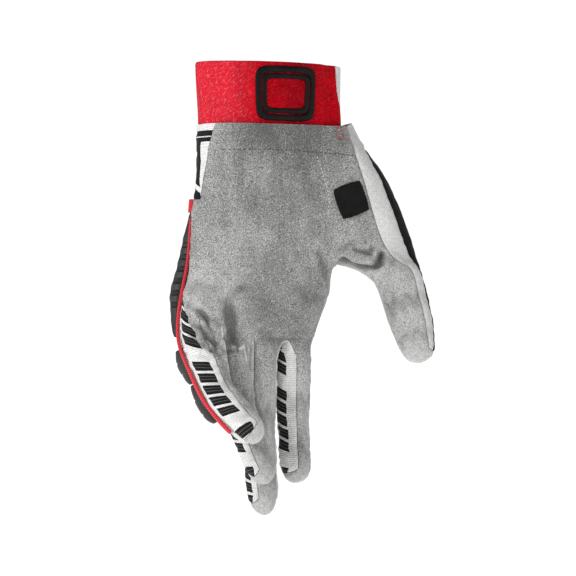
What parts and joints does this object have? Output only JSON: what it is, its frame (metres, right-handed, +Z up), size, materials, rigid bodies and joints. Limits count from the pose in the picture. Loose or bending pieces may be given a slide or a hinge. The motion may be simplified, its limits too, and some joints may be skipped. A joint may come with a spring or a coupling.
{
  "type": "mountain bike glove",
  "caption": "Full-finger mountain bike glove for the left hand in its worn shape, with suede palm, stretch cuff and moulded outer knuckle guard.",
  "frame": {"origin": "centre of the wrist opening at the cuff's top rim", "axes": "+Z up the forearm out of the wrist opening, +X to the thumb side, -Y the way the palm faces"},
  "size_m": [0.1339, 0.0744, 0.2373],
  "materials": {
    "suede": "matt suede microfibre",
    "back_knit": "matt fine knit",
    "black_knit": "matt knit",
    "pale_mesh": "matt mesh",
    "suede_gusset": "matt suede microfibre",
    "side_knit": "matt ribbed knit with black print",
    "fourchette_a": "matt ribbed mesh with black print",
    "fourchette_b": "matt ribbed mesh with black print",
    "fourchette_c": "matt ribbed mesh with black print",
    "red_knit": "matt stretch knit",
    "white_binding": "matt tape",
    "black_silicone": "satin silicone",
    "black_label": "satin",
    "guard_rubber": "matt moulded rubber",
    "pad_rubber_a": "matt moulded rubber",
    "pad_rubber_b": "matt moulded rubber",
    "red_cord": "satin cord",
    "red_tape": "woven tape"
  },
  "bodies": {
    "root": {"palm_panel": "suede", "back_panel": "back_knit", "thumb_back_panel": "black_knit", "thumb_side_strip": "pale_mesh", "web_gusset": "suede_gusset", "ulnar_side_panel": "side_knit", "fourchette_little_ring": "fourchette_a", "fourchette_ring_middle": "fourchette_b", "fourchette_middle_index": "fourchette_c", "cuff_band": "red_knit", "cuff_side_binding": "white_binding", "cuff_grip_print": "black_silicone", "palm_label": "black_label", "knuckle_guard": "guard_rubber", "little_finger_guard_upper": "pad_rubber_a", "little_finger_guard_lower": "pad_rubber_b", "red_piping": "red_cord", "red_tab": "red_tape"}
  },
  "joints": []
}
